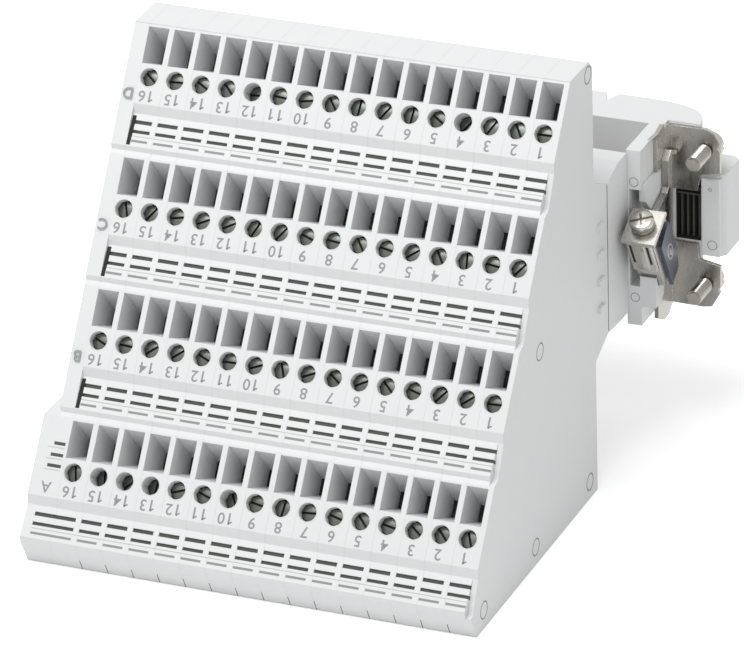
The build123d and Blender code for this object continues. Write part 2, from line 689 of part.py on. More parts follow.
# Captive screws: a stud, a thinner neck that turns in the flange, and a head behind it
stud_end = FLANGE_PLANE - CAPTIVE_NECK
head_front = FLANGE_REAR + RUNNING_CLEARANCE
for name, x, z in captive_places():
    with BuildPart() as captive:
        with BuildSketch(Plane.XZ.offset(-stud_end)):
            with Locations((x, z)):
                Circle(CAPTIVE_RADIUS)
        extrude(amount=CAPTIVE_LENGTH)
        with BuildSketch(Plane.XZ.offset(-stud_end)):
            with Locations((x, z)):
                Circle(CAPTIVE_NECK_RADIUS)
        extrude(amount=stud_end - head_front)
        with BuildSketch(Plane.XZ.offset(-head_front)):
            with Locations((x, z)):
                RegularPolygon(CAPTIVE_HEAD_RADIUS, HEAD_SIDES)
        extrude(amount=-CAPTIVE_HEAD)
    write(captive.part, name)

# Earth clamp. Its plane lies across the screw, with X along the rows and Y up the back of the clamp.
PE_X = ARM_OUTER + PE_FROM_ARM
PE_Y = ARM_FRONT - PE_BEFORE_ARM
PE_Z = CONTACT_LEVEL + PE_ABOVE_CONTACTS
pe_plane = Plane(origin=(PE_X, PE_Y, PE_Z), x_dir=(1, 0, 0), z_dir=(0, -cos(PE_TILT), sin(PE_TILT)))
saddle_low = PE_SADDLE_TOP + SHEET
body_mid = (PE_BODY_BACK - PE_BODY_FRONT) / 2
body_long = PE_BODY_BACK + PE_BODY_FRONT
body_side = PE_X + PE_BODY_WIDE / 2

with BuildPart() as pe_body:
    with BuildSketch(pe_plane.offset(-PE_BODY_BOTTOM)):
        with Locations((0, body_mid)):
            Rectangle(PE_BODY_WIDE, body_long)
            Rectangle(PE_BODY_WIDE - 2 * SHEET, body_long - 2 * SHEET, mode=Mode.SUBTRACT)
    extrude(amount=PE_BODY_BOTTOM - saddle_low - PE_GAP)
write(pe_body.part, "pe_clamp_body")

saddle_edge = PE_BODY_FRONT + PE_GAP + SHEET
with BuildPart() as pe_saddle:
    with BuildSketch(pe_plane.offset(-saddle_low)):
        with Locations((0, PE_SADDLE_LONG / 2 - saddle_edge)):
            Rectangle(PE_SADDLE_WIDE, PE_SADDLE_LONG)
        Circle(PE_SCREW_RADIUS + RUNNING_CLEARANCE, mode=Mode.SUBTRACT)
    extrude(amount=SHEET)
    with BuildSketch(pe_plane.offset(-saddle_low)):
        with Locations((0, SHEET / 2 - saddle_edge)):
            Rectangle(PE_FRONT_WIDE, SHEET)
    extrude(amount=-PE_FRONT_LONG)
write(pe_saddle.part, "pe_saddle")

with BuildPart() as pe_screw:
    with BuildSketch(pe_plane.offset(RUNNING_CLEARANCE - PE_SADDLE_TOP)):
        RegularPolygon(PE_HEAD_RADIUS, HEAD_SIDES)
    extrude(amount=PE_HEAD)
    with BuildSketch(pe_plane.offset(RUNNING_CLEARANCE - PE_SADDLE_TOP)):
        Circle(PE_SCREW_RADIUS)
    extrude(amount=-PE_SCREW_LENGTH)
write(pe_screw.part, "pe_screw")


def beside_clamp(back, up):
    """(Y, Z) of a point in the earth clamp's own directions, from the middle of its screw head."""
    y = PE_Y + back * sin(PE_TILT) - up * cos(PE_TILT)
    z = PE_Z + back * cos(PE_TILT) + up * sin(PE_TILT)
    return (y, z)


with BuildPart() as pe_plate:
    with BuildSketch(Plane.YZ.offset(body_side + PE_SEAM)):
        with BuildLine():
            Polyline(
                *[beside_clamp(back, up) for back, up in PE_PLATE],
                close=True,
            )
        make_face()
    extrude(amount=PE_PLATE_THICK)
write(pe_plate.part, "pe_side_plate")

# Bent strap that joins the clamp to the leg of the bracket
strap_path = [
    (FLANGE_PLANE - STRAP_HEAD[0], LEG_TOP - STRAP_HEAD[1]),
    *[(LEG_FRONT + back, LEG_TOP + up) for back, up in STRAP_RUN],
    beside_clamp(PE_BODY_BACK + STRAP_FOOT[0], STRAP_FOOT[1]),
]
with BuildPart() as pe_strap:
    with BuildSketch(Plane.YZ.offset(ARM_OUTER + SHEET + PE_SEAM)):
        with BuildLine():
            Polyline(*ribbon(strap_path, SHEET), close=True)
        make_face()
    extrude(amount=STRAP_WIDE)
write(pe_strap.part, "pe_strap")
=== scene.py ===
"""Looks of a stepped screw terminal block with a plug connector at its back, in metres in the CAD frame."""

import logging
import random
from dataclasses import dataclass, field
from enum import Enum
from math import cos, pi, radians, sin

import bpy
from mathutils import Matrix, Vector


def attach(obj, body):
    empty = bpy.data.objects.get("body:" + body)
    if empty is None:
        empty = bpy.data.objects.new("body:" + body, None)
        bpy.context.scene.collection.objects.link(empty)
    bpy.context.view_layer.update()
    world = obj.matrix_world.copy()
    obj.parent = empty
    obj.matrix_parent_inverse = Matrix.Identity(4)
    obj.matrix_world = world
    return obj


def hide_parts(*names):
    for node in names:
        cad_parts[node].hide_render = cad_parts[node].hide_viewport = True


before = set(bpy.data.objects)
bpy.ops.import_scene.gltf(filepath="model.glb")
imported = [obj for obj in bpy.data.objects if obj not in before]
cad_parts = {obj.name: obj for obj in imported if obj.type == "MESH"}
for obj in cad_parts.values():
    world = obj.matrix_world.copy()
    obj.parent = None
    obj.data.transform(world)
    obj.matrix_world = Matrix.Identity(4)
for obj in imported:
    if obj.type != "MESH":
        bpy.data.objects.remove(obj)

MM = 0.001
CLOUD_SHARE = 0.06
SMOOTH_ANGLE = radians(40)
LINE_SUNK = 0.05
LINE_PROUD = 0.015
LOG = logging.getLogger("terminal_block")


class Body(Enum):
    """The CAD bodies that the new pieces ride on."""

    BLOCK = "block"
    SADDLE = "pe_saddle"
    EARTH_SCREW = "pe_screw"
    UPPER_RIGHT = "captive_screw_upper_right"
    LOWER_RIGHT = "captive_screw_lower_right"
    UPPER_LEFT = "captive_screw_upper_left"
    LOWER_LEFT = "captive_screw_lower_left"


class Slot(Enum):
    """Material slots of the record."""

    HOUSING = "housing"
    ZINC = "zinc"
    PLATED = "plated_steel"


def linear(red: int, green: int, blue: int) -> tuple[float, float, float, float]:
    """Turns a screen colour into the linear colour that a shader takes.

    Args:
        red: Red from 0 to 255.
        green: Green from 0 to 255.
        blue: Blue from 0 to 255.

    Returns:
        Linear red, green and blue with full opacity.
    """
    parts = []
    for value in (red, green, blue):
        share = value / 255
        parts.append(share / 12.92 if share <= 0.04045 else ((share + 0.055) / 1.055) ** 2.4)
    return (parts[0], parts[1], parts[2], 1.0)


@dataclass(frozen=True)
class Finish:
    """One surface finish: a colour with fine variation, roughness and relief.

    Attributes:
        name: Name of the material.
        colour: Main colour, linear.
        shade: Second colour that the noise mixes in, linear.
        roughness: Middle roughness.
        roughness_swing: How far the roughness moves round its middle.
        metallic: 1 for bare metal, 0 otherwise.
        grain: Noise features per metre.
        relief: Height of the bump in metres.
        stretch: Scale of the noise along X, Y and Z, for brushed or rolled metal.
        edge_radius: Radius in metres that sharp edges are shaded with, or 0.
    """

    name: str
    colour: tuple[float, float, float, float]
    shade: tuple[float, float, float, float]
    roughness: float
    roughness_swing: float = 0.05
    metallic: float = 0.0
    grain: float = 900.0
    relief: float = 0.00001
    stretch: tuple[float, float, float] = (1.0, 1.0, 1.0)
    edge_radius: float = 0.0

    def material(self) -> bpy.types.Material:
        """Builds the node material.

        Returns:
            The new material.
        """
        made = bpy.data.materials.new(self.name)
        made.use_nodes = True
        nodes = made.node_tree.nodes
        links = made.node_tree.links
        shader = nodes["Principled BSDF"]
        shader.inputs["Metallic"].default_value = self.metallic
        place = nodes.new("ShaderNodeTexCoord")
        mapping = nodes.new("ShaderNodeMapping")
        mapping.inputs["Scale"].default_value = self.stretch
        links.new(place.outputs["Object"], mapping.inputs["Vector"])
        cloud = nodes.new("ShaderNodeTexNoise")
        cloud.inputs["Scale"].default_value = self.grain * CLOUD_SHARE
        cloud.inputs["Detail"].default_value = 4
        fine = nodes.new("ShaderNodeTexNoise")
        fine.inputs["Scale"].default_value = self.grain
        fine.inputs["Detail"].default_value = 3
        for noise in (cloud, fine):
            links.new(mapping.outputs["Vector"], noise.inputs["Vector"])
        mix = nodes.new("ShaderNodeMix")
        mix.data_type = "RGBA"
        mix.inputs["A"].default_value = self.colour
        mix.inputs["B"].default_value = self.shade
        links.new(cloud.outputs["Fac"], mix.inputs["Factor"])
        links.new(mix.outputs["Result"], shader.inputs["Base Color"])
        swing = nodes.new("ShaderNodeMapRange")
        swing.inputs["To Min"].default_value = self.roughness - self.roughness_swing
        swing.inputs["To Max"].default_value = self.roughness + self.roughness_swing
        links.new(fine.outputs["Fac"], swing.inputs["Value"])
        links.new(swing.outputs["Result"], shader.inputs["Roughness"])
        bump = nodes.new("ShaderNodeBump")
        bump.inputs["Strength"].default_value = 1.0
        bump.inputs["Distance"].default_value = self.relief
        links.new(fine.outputs["Fac"], bump.inputs["Height"])
        if self.edge_radius:
            soft = nodes.new("ShaderNodeBevel")
            soft.samples = 4
            soft.inputs["Radius"].default_value = self.edge_radius
            links.new(soft.outputs["Normal"], bump.inputs["Normal"])
        links.new(bump.outputs["Normal"], shader.inputs["Normal"])
        return made


HOUSING = Finish(
    "light_grey_moulding", linear(226, 227, 227), linear(223, 224, 225), 0.45, 0.05, 0.0, 2600.0, 0.000003,
    edge_radius=0.00014,
)
ZINC = Finish("zinc_plating", linear(126, 131, 124), linear(84, 88, 84), 0.30, 0.08, 1.0, 1500.0, 0.00002)
CLAMP = Finish("clamp_steel", linear(70, 71, 72), linear(52, 53, 54), 0.45, 0.08, 1.0, 1200.0)
CONTACT = Finish("silver_plating", linear(190, 188, 180), linear(170, 166, 158), 0.3, 0.05, 1.0, 1500.0)
PLATED = Finish(
    "nickel_plating", linear(206, 204, 198), linear(146, 144, 139), 0.27, 0.08, 1.0, 1400.0, 0.000008,
    stretch=(1.0, 1.0, 0.2), edge_radius=0.00012,
)
BRIGHT = Finish(
    "bright_plating", linear(206, 203, 195), linear(146, 143, 136), 0.2, 0.07, 1.0, 1300.0, 0.00001
)
# Painted shade and painted reflection: the side plate's dark blue-grey stands for the shade on it and the
# dark blue surroundings it mirrors.
PAINTED_SHADE_PLATE = Finish(
    "side_plate_painted_shade_and_reflection", linear(96, 101, 112), linear(70, 75, 86), 0.3, 0.06, 1.0, 1400.0, 0.000006
)
INK = Finish("grey_print", linear(152, 154, 156), linear(144, 146, 148), 0.55, 0.03, 0.0, 2600.0, 0.000001)
PALE_LINE = Finish(
    "pale_line", linear(196, 197, 194), linear(186, 187, 184), 0.6, 0.03, 0.0, 2600.0, 0.000001
)
RECESS = Finish(
    "recess_shade", linear(150, 152, 152), linear(136, 138, 138), 0.6, 0.03, 0.0, 2600.0, 0.000001
)
DEEP = Finish("deep_shade", linear(84, 84, 80), linear(66, 66, 63), 0.7, 0.03, 0.0, 2600.0, 0.000001)
# Painted black shade for the gaps beside the screw heads, the shadow at the strips' left ends, the saddle's
# slots and the lobe recesses' linings.
PAINTED_BLACK_SHADE = Finish("painted_black_shade", linear(34, 34, 32), linear(24, 24, 23), 0.8, 0.03, 0.0, 2600.0, 0.000001)


class Workshop:
    """Small helpers round Blender's own operators."""

    @staticmethod
    def clear_selection() -> None:
        """Deselects every object."""
        bpy.ops.object.select_all(action="DESELECT")

    @staticmethod
    def pick(obj: bpy.types.Object) -> None:
        """Makes one object the only selected and active one."""
        Workshop.clear_selection()
        obj.select_set(True)
        bpy.context.view_layer.objects.active = obj

    @staticmethod
    def settle(obj: bpy.types.Object, place: Matrix) -> None:
        """Moves an object's mesh by a matrix and leaves the object at the origin.

        Args:
            obj: The object, with its own mesh.
            place: Matrix from the mesh to the CAD frame.
        """
        obj.data.transform(place @ obj.matrix_world)
        obj.matrix_world = Matrix.Identity(4)
        obj.data.update()

    @staticmethod
    def join(objects: list[bpy.types.Object], name: str) -> bpy.types.Object:
        """Joins objects into one named piece.

        Args:
            objects: Mesh objects, all at the origin.
            name: Name of the joined piece.

        Returns:
            The joined object.
        """
        Workshop.clear_selection()
        for obj in objects:
            obj.select_set(True)
        bpy.context.view_layer.objects.active = objects[0]
        if len(objects) > 1:
            bpy.ops.object.join()
        objects[0].name = name
        return objects[0]

    @staticmethod
    def dress(obj: bpy.types.Object, material: bpy.types.Material) -> None:
        """Gives an object one material all over."""
        obj.data.materials.clear()
        obj.data.materials.append(material)

    @staticmethod
    def copies(pattern: bpy.types.Object, places: list[Matrix], name: str) -> bpy.types.Object:
        """Copies a pattern to each place and joins the copies.

        Args:
            pattern: The modelled piece, deleted afterwards.
            places: One matrix for each copy.
            name: Name of the joined piece.

        Returns:
            The joined copies.
        """
        made = []
        for place in places:
            twin = pattern.copy()
            twin.data = pattern.data.copy()
            bpy.context.collection.objects.link(twin)
            twin.data.transform(place)
            made.append(twin)
        bpy.data.objects.remove(pattern)
        return Workshop.join(made, name)

    @staticmethod
    def box(low: Vector, high: Vector, place: Matrix | None = None) -> bpy.types.Object:
        """Models a box from two corners in millimetres.

        Args:
            low: Low corner.
            high: High corner.
            place: Matrix in metres from the box's own directions to the CAD frame.

        Returns:
            The box, its object at the origin.
        """
        Workshop.clear_selection()
        bpy.ops.mesh.primitive_cube_add(size=1)
        made = bpy.context.active_object
        size = Matrix.Diagonal((*((high - low) * MM), 1))
        Workshop.settle(made, (place or Matrix()) @ Matrix.Translation((low + high) / 2 * MM) @ size)
        return made

    @staticmethod
    def disc(radius: float, low: float, high: float, place: Matrix, sides: int = 32) -> bpy.types.Object:
        """Models an upright cylinder round the Z axis of a place, sizes in millimetres."""
        Workshop.clear_selection()
        middle = (low + high) / 2
        bpy.ops.mesh.primitive_cylinder_add(
            vertices=sides, radius=radius * MM, depth=(high - low) * MM, location=(0, 0, middle * MM)
        )
        made = bpy.context.active_object
        Workshop.settle(made, place)
        return made

    @staticmethod
    def hoop(radius: float, thick: float, flat: float, place: Matrix, sides: int = 40) -> bpy.types.Object:
        """Models a flattened ring round the Z axis of a place, sizes in millimetres."""
        Workshop.clear_selection()
        bpy.ops.mesh.primitive_torus_add(
            major_radius=radius * MM, minor_radius=thick / 2 * MM, major_segments=sides, minor_segments=8
        )
        made = bpy.context.active_object
        Workshop.settle(made, place @ Matrix.Diagonal((1, 1, flat, 1)))
        bpy.ops.object.shade_smooth()
        return made

    @staticmethod
    def soften(obj: bpy.types.Object, width: float, segments: int = 2) -> None:
        """Bevels an object's sharp edges by a width in millimetres."""
        Workshop.pick(obj)
        rim = obj.modifiers.new("rim", "BEVEL")
        rim.width = width * MM
        rim.segments = segments
        rim.limit_method = "ANGLE"
        bpy.ops.object.modifier_apply(modifier="rim")
        bpy.ops.object.shade_smooth_by_angle(angle=SMOOTH_ANGLE)

    @staticmethod
    def carve(obj: bpy.types.Object, cutter: bpy.types.Object) -> None:
        """Cuts one object out of another and deletes the cutter."""
        Workshop.pick(obj)
        cut = obj.modifiers.new("cut", "BOOLEAN")
        cut.object = cutter
        cut.solver = "EXACT"
        bpy.ops.object.modifier_apply(modifier="cut")
        bpy.data.objects.remove(cutter)

    @staticmethod
    def hand_in(obj: bpy.types.Object, body: Body, slot: Slot, *replaced: str) -> None:
        """Attaches a finished piece to its body, hides the CAD nodes that it stands for and logs it.

        Args:
            obj: The piece.
            body: The body that it rides on.
            slot: Not used.
            *replaced: CAD nodes that it stands for.
        """
        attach(obj, body.value)
        if replaced:
            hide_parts(*replaced)
        LOG.info("piece %s, %d faces", obj.name, len(obj.data.polygons))

    @staticmethod
    def assemble(
        objects: list[bpy.types.Object],
        name: str,
        material: bpy.types.Material,
        body: Body = Body.BLOCK,
        slot: Slot = Slot.HOUSING,
    ) -> None:
        """Args:
            objects: Mesh objects, all at the origin.
            name: Name of the piece.
            material: Its material.
            body: The body that it rides on.
            slot: Not used; passed on to hand_in, which ignores it.
        """
        piece = Workshop.join(objects, name)
        Workshop.dress(piece, material)
        Workshop.hand_in(piece, body, slot)


@dataclass
class TierLayout:
    """Sizes of the stepped front, as in the part's source, in millimetres."""

    pitch: float = 5.08
    positions: int = 16
    tiers: int = 4
    tier_back: float = 13.1792
    tier_rise: float = 20.3304
    web: float = 1.08
    top_edge_y: float = -20.1008
    top_edge_z: float = 24.8004
    face_angle: float = radians(54.8)
    face_length: float = 14.75
    step_down: float = 1.95
    strip_angle: float = radians(49.0)
    screw_down: float = 9.7
    screw_across: float = 3.08

    @property
    def right_end(self) -> float:
        """X of the right face of the stack."""
        return self.pitch * self.positions / 2

    def slice_right(self, number: int) -> float:
        """X of the right face of a numbered slice."""
        return self.right_end - (number - 1) * self.pitch

    def screw_x(self, number: int) -> float:
        """X of a numbered screw's axis."""
        return self.slice_right(number) - self.screw_across

    def face_point(self, tier: int, down: float, deep: float, x: float = 0.0) -> Vector:
        """A point on a tier's screw face.

        Args:
            tier: Row counted from the lowest, from 0.
            down: Distance down the face from its top edge.
            deep: Distance behind the face.
            x: Place along the row.

        Returns:
            The point in millimetres.
        """
        y = self.top_edge_y + tier * self.tier_back
        z = self.top_edge_z + tier * self.tier_rise
        y += -down * cos(self.face_angle) + deep * sin(self.face_angle)
        z += -down * sin(self.face_angle) - deep * cos(self.face_angle)
        return Vector((x, y, z))

    def strip_point(self, tier: int, down: float, deep: float, x: float = 0.0) -> Vector:
        """A point on a tier's marker strip, measured as face_point is from the strip's upper edge."""
        corner = self.face_point(tier, self.face_length, 0.0, x)
        y = corner.y - down * cos(self.strip_angle) + deep * sin(self.strip_angle)
        z = corner.z - self.step_down - down * sin(self.strip_angle) - deep * cos(self.strip_angle)
        return Vector((x, y, z))

    def strip_matrix(self, tier: int) -> Matrix:
        """Matrix in metres from X, down and outwards to a tier's marker strip."""
        downward = Vector((0, -cos(self.strip_angle), -sin(self.strip_angle)))
        across = Vector((-1, 0, 0))
        turn = Matrix((across, downward, across.cross(downward))).transposed().to_4x4()
        return Matrix.Translation(self.strip_point(tier, 0, 0) * MM) @ turn

    def face_matrix(self, tier: int, down: float, deep: float, x: float) -> Matrix:
        """Matrix in metres from a piece drawn flat, Z outwards and Y up the face, to its place."""
        across = Vector((1, 0, 0))
        outward = Vector((0, -sin(self.face_angle), cos(self.face_angle)))
        upward = outward.cross(across)
        turn = Matrix((across, upward, outward)).transposed().to_4x4()
        return Matrix.Translation(self.face_point(tier, down, deep, x) * MM) @ turn


LAYOUT = TierLayout()


@dataclass
class TerminalScrews:
    """The slotted clamping screws, one modelled and the rest copied row by row."""

    radius: float = 1.52
    length: float = 3.2
    slot_width: float = 0.42
    slot_depth: float = 0.7
    edge: float = 0.16
    sides: int = 28
    gap_sides: int = 20
    gap_margin: float = 0.1
    seed: int = 5
    sunk: float = 1.35
    sunk_open: float = 3.0
    shade_below: float = 0.5
    ring_inner: float = 1.7
    ring_outer: float = 1.86
    ring_depth: float = 1.2
    proud: float = 0.012
    backed_out: dict[int, tuple[int, ...]] = field(
        default_factory=lambda: {0: (10, 13, 14, 15), 1: (), 2: (), 3: (4, 12)}
    )

    def pattern(self) -> bpy.types.Object:
        """Models one screw head, its top at the origin and its slot along X.

        Returns:
            The screw.
        """
        Workshop.clear_selection()
        bpy.ops.mesh.primitive_cylinder_add(
            vertices=self.sides,
            radius=self.radius * MM,
            depth=self.length * MM,
            location=(0, 0, -self.length / 2 * MM),
        )
        screw = bpy.context.active_object
        bpy.ops.object.transform_apply(location=True, rotation=False, scale=False)
        bpy.ops.mesh.primitive_cube_add(size=1, location=(0, 0, 0))
        cutter = bpy.context.active_object
        cutter.scale = (3 * self.radius * MM, self.slot_width * MM, 2 * self.slot_depth * MM)
        bpy.ops.object.transform_apply(location=False, rotation=False, scale=True)
        Workshop.pick(screw)
        rim = screw.modifiers.new("rim", "BEVEL")
        rim.width = self.edge * MM
        rim.segments = 2
        rim.limit_method = "ANGLE"
        bpy.ops.object.modifier_apply(modifier="rim")
        cut = screw.modifiers.new("slot", "BOOLEAN")
        cut.object = cutter
        cut.solver = "EXACT"
        bpy.ops.object.modifier_apply(modifier="slot")
        bpy.data.objects.remove(cutter)
        bpy.ops.object.shade_smooth_by_angle(angle=SMOOTH_ANGLE)
        return screw

    def ring(self) -> bpy.types.Object:
        """Models the round mouth of one bore, its rim at the origin."""
        rim = Workshop.disc(self.ring_outer, -self.ring_depth, self.proud, Matrix(), self.sides)
        Workshop.carve(rim, Workshop.disc(self.ring_inner, -self.ring_depth - 1, 1, Matrix(), self.sides))
        bpy.ops.object.shade_smooth_by_angle(angle=SMOOTH_ANGLE)
        return rim

    def mouths(self, housing: bpy.types.Material, black: bpy.types.Material) -> None:
        """Rounds the mouths of the bores and paints shade as a black disc in the gap beside each screw head.
        """
        rims, gap_shades = [], []
        for tier in range(LAYOUT.tiers):
            for number in range(1, LAYOUT.positions + 1):
                sunk = self.sunk_open if number in self.backed_out[tier] else self.sunk
                x = LAYOUT.screw_x(number)
                rims.append(LAYOUT.face_matrix(tier, LAYOUT.screw_down, 0, x))
                gap_shades.append(LAYOUT.face_matrix(tier, LAYOUT.screw_down, sunk + self.shade_below, x))
        mouths = Workshop.copies(self.ring(), rims, "bore_mouths")
        Workshop.assemble([mouths], "bore_mouths", housing)
        # Painted shade: a black disc sunk below each screw head stands for the shade between the head and the
        # bore wall.
        plug = Workshop.disc(self.ring_outer - self.gap_margin, -self.gap_margin, 0, Matrix(), self.gap_sides)
        Workshop.assemble([Workshop.copies(plug, gap_shades, "bore_gap_painted_shade")], "bore_gap_painted_shade", black)

    def build(self, material: bpy.types.Material) -> None:
        """Places every screw and stands it for the row's CAD node."""
        chance = random.Random(self.seed)
        for tier in range(LAYOUT.tiers):
            places = []
            for number in range(1, LAYOUT.positions + 1):
                sunk = self.sunk_open if number in self.backed_out[tier] else self.sunk
                place = LAYOUT.face_matrix(tier, LAYOUT.screw_down, sunk, LAYOUT.screw_x(number))
                places.append(place @ Matrix.Rotation(chance.uniform(0, pi), 4, "Z"))
            row = Workshop.copies(self.pattern(), places, f"slotted_screws_row_{'abcd'[tier]}")
            Workshop.dress(row, material)
            Workshop.hand_in(row, Body.BLOCK, Slot.ZINC, f"terminal_screws_row_{'abcd'[tier]}")


@dataclass
class Markings:
    """Printed position numbers below the screws and row letters on the end plate, all upside down."""

    number_size: float = 2.9
    number_down: float = 13.2
    number_shift: float = 0.2
    digit_step: float = 1.72
    one_height: float = 2.05
    one_stem: float = 0.36
    one_flag: tuple[float, float, float, float] = (-0.62, -0.16, 0.16, 0.14)
    one_flag_at: tuple[float, float] = (0.1, 0.18)
    one_flag_tilt: float = radians(32)
    bold: float = 0.032
    proud: float = 0.012
    letter_x: tuple[float, ...] = (-43.3, -42.1, -42.1, -42.1)
    letter_down: float = 12.9

    def one(self) -> bpy.types.Object:
        """Draws the digit one with its flag, round the origin."""
        half = self.one_height / 2
        back = self.proud / 2
        stem = Workshop.box(Vector((0.0, -half, -back)), Vector((self.one_stem, half, back)))
        aside, below_top = self.one_flag_at
        hinge = Matrix.Translation(Vector((aside, half - below_top, 0)) * MM)
        tilt = hinge @ Matrix.Rotation(self.one_flag_tilt, 4, "Z")
        left, low, right, high = self.one_flag
        flag = Workshop.box(Vector((left, low, -back)), Vector((right, high, back)), tilt)
        return Workshop.join([stem, flag], "one")

    def character(self, text: str) -> bpy.types.Object:
        """Makes one character a thin mesh round the origin, the right way up."""
        if text == "1":
            return self.one()
        Workshop.clear_selection()
        bpy.ops.object.text_add(location=(0, 0, 0))
        label = bpy.context.active_object
        label.data.body = text
        label.data.size = self.number_size * MM
        label.data.offset = self.bold * MM
        label.data.align_x = "CENTER"
        label.data.align_y = "CENTER"
        label.data.extrude = self.proud / 2 * MM
        label.data.resolution_u = 4
        bpy.ops.object.convert(target="MESH")
        return bpy.context.active_object

    def print_text(self, text: str, place: Matrix) -> bpy.types.Object:
        """Prints a text upside down at a place.

        Args:
            text: The number or letter.
            place: Matrix from the text's flat frame to the CAD frame.

        Returns:
            The printed mesh.
        """
        signs = []
        for index, sign in enumerate(text):
            glyph = self.character(sign)
            aside = (index - (len(text) - 1) / 2) * self.digit_step
            over = place @ Matrix.Rotation(pi, 4, "Z") @ Matrix.Translation(Vector((aside, 0, 0)) * MM)
            Workshop.settle(glyph, over)
            signs.append(glyph)
        return Workshop.join(signs, f"text_{text}")

    def build(self, material: bpy.types.Material) -> None:
        """Prints the numbers and letters of each row."""
        for tier in range(LAYOUT.tiers):
            prints = []
            for number in range(1, LAYOUT.positions + 1):
                x = LAYOUT.screw_x(number) + self.number_shift
                place = LAYOUT.face_matrix(tier, self.number_down, -self.proud / 2, x)
                prints.append(self.print_text(str(number), place))
            place = LAYOUT.face_matrix(tier, self.letter_down, -self.proud / 2, self.letter_x[tier])
            prints.append(self.print_text("ABCD"[tier], place))
            Workshop.assemble(prints, f"printed_marks_row_{'abcd'[tier]}", material)


@dataclass
class StripLines:
    """Fine lines of the marker strips in painted shade: the lowest slots, the groove above them and the dark
    left ends, where painted shadow stands for the gap between the end plate and the bars.
    """

    slot_start: float = 4.97
    slot_height: float = 0.45
    groove_start: float = 4.22
    groove_height: float = 0.16
    groove_margin: float = 0.3
    end_gap: float = 0.75
    end_gap_start: float = 0.4
    end_gap_height: float = 5.6
    web_margin: float = 0.05
    cell_margin: float = 0.1
    slot_margin: float = 0.02
    slot_edge: float = 0.01
    foot_end: float = -44.7
    upper_slots: tuple[tuple[float, float], ...] = ((1.25, 0.72), (3.1, 0.62))
    floor_below: float = 0.3
    slot_deep: float = 1.58

    def line(self, tier: int, left: float, right: float, start: float, height: float) -> bpy.types.Object:
        """Lays one thin line on a marker strip, between two X and down from a start."""
        low = Vector((-right, start, -LINE_SUNK))
        high = Vector((-left, start + height, LINE_PROUD))
        return Workshop.box(low, high, LAYOUT.strip_matrix(tier))

    def floors(self, dark: bpy.types.Material) -> None:
        """Lays a floor of painted shade deep in each of the two upper slots."""
        pieces = []
        for tier in range(LAYOUT.tiers):
            for number in range(1, LAYOUT.positions + 1):
                right = LAYOUT.slice_right(number) - LAYOUT.web - self.slot_margin
                left = LAYOUT.slice_right(number) - LAYOUT.pitch + self.slot_margin
                if tier == 0 and number == LAYOUT.positions:
                    left = self.foot_end
                for start, height in self.upper_slots:
                    low = Vector((-right, start + self.slot_edge, -self.slot_deep))
                    high = Vector((-left, start + height - self.slot_edge, -self.floor_below))
                    pieces.append(Workshop.box(low, high, LAYOUT.strip_matrix(tier)))
        Workshop.assemble(pieces, "strip_slot_floor_shade", dark)

    def build(self, grey: bpy.types.Material, pale: bpy.types.Material, black: bpy.types.Material) -> None:
        """Draws the lines of all four strips."""
        slots, grooves, gap_shades = [], [], []
        left_end = -LAYOUT.right_end
        for tier in range(LAYOUT.tiers):
            for number in range(1, LAYOUT.positions + 1):
                right = LAYOUT.slice_right(number) - LAYOUT.web - self.web_margin
                left = LAYOUT.slice_right(number) - LAYOUT.pitch + self.cell_margin
                if number == LAYOUT.positions:
                    left = self.foot_end if tier == 0 else left + self.end_gap
                # Painted shade: a grey line stands for the lowest slot, which has no cut.
                slots.append(self.line(tier, left, right, self.slot_start, self.slot_height))
            start = self.foot_end if tier == 0 else left_end + self.end_gap
            stop = LAYOUT.right_end - self.groove_margin
            # Painted shade: a grey line stands for the shade in the groove on the second bar.
            grooves.append(self.line(tier, start, stop, self.groove_start, self.groove_height))
            # Painted shadow: a black line at the left end of rows B to D stands for the shadow between the
            # end plate and the bars.
            if tier:
                left = left_end + self.slot_margin
                right = left_end + self.end_gap
                gap_shades.append(self.line(tier, left, right, self.end_gap_start, self.end_gap_height))
        for pieces, name, material in (
            (slots, "strip_lowest_slot_shade", grey),
            (grooves, "strip_groove_shade", pale),
            (gap_shades, "strip_end_painted_shadow", black),
        ):
            Workshop.assemble(pieces, name, material)


@dataclass
class FootSlots:
    """Three small slots beside the last funnel of the lowest row, drawn as dark lines of painted shade."""

    downs: tuple[float, ...] = (4.6, 6.7, 8.7)
    left: float = -43.9
    right: float = -41.2
    height: float = 0.6
    left_step: float = 0.25
    bar_reach: float = 0.6
    bar_start: float = 1.0
    bar_end: float = 1.15

    def build(self, dark: bpy.types.Material, pale: bpy.types.Material) -> None:
        """Lays the slots and the bars between them on the foot."""
        place = LAYOUT.face_matrix(0, 0, 0, 0)
        slots = []
        for index, down in enumerate(reversed(self.downs)):
            low = Vector((self.left + self.left_step * index, -down - self.height, -LINE_SUNK))
            slots.append(Workshop.box(low, Vector((self.right, -down, LINE_PROUD)), place))
        # Painted shade: the slots are dark lines laid on the face, with no cut.
        Workshop.assemble(slots, "foot_slot_shade", dark)
        bars = []
        for down in self.downs:
            low = Vector((self.left - self.bar_reach, -down - self.bar_end, -LINE_SUNK))
            bars.append(Workshop.box(low, Vector((self.right, -down - self.bar_start, LINE_PROUD)), place))
        Workshop.assemble(bars, "foot_bar_lines", pale)


